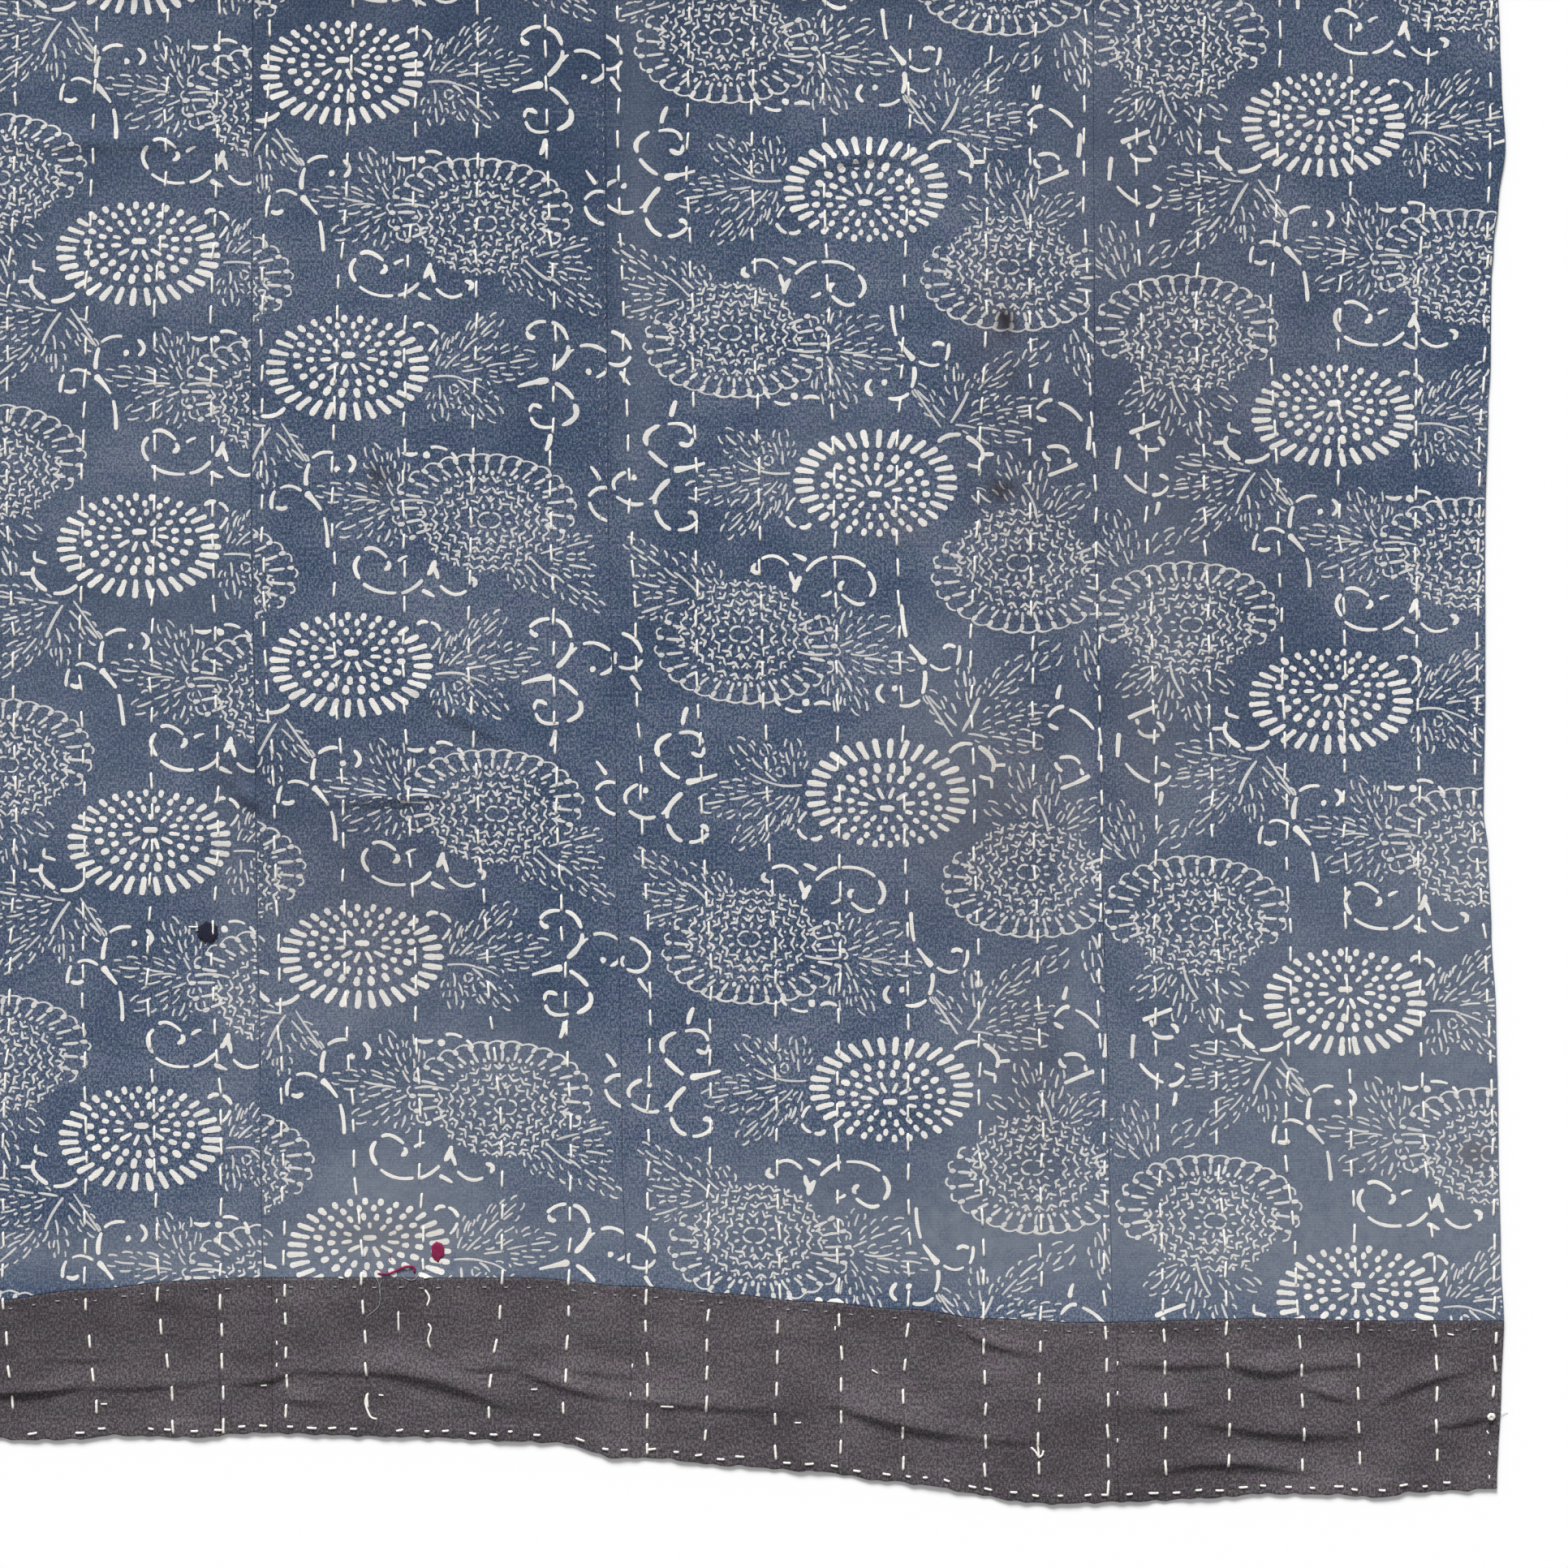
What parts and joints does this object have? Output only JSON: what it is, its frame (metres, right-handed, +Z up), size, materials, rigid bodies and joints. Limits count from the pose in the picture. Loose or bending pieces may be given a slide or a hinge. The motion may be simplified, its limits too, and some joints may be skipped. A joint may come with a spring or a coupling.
{
  "type": "sashiko embroidered cloth",
  "caption": "Flat quilted cotton cloth of printed indigo widths above a pieced brown band, with running stitch rows, hemmed edges and soft creases.",
  "frame": {"origin": "under the middle of the cloth, on the surface it lies on", "axes": "+Z up out of the cloth's face, +Y towards the printed widths' upper edge, +X towards the side hem"},
  "size_m": [0.975, 0.9737, 0.0035],
  "materials": {
    "indigo_cotton": "matte hand-woven indigo cotton with a cream resist print",
    "brown_cotton": "matte plain-woven grey-brown cotton",
    "resist_cream": "undyed cotton where the paste kept the dye out",
    "white_thread": "matte off-white twisted cotton thread",
    "magenta_thread": "magenta mending thread",
    "navy_thread": "dark navy mending thread"
  },
  "bodies": {
    "root": {"printed_width_1": "indigo_cotton", "printed_width_2": "indigo_cotton", "printed_width_3": "indigo_cotton", "printed_width_4": "indigo_cotton", "band_length_1": "brown_cotton", "band_length_2": "brown_cotton", "band_length_3": "brown_cotton", "band_length_4": "brown_cotton", "band_length_5": "brown_cotton", "band_length_6": "brown_cotton"}
  },
  "joints": []
}
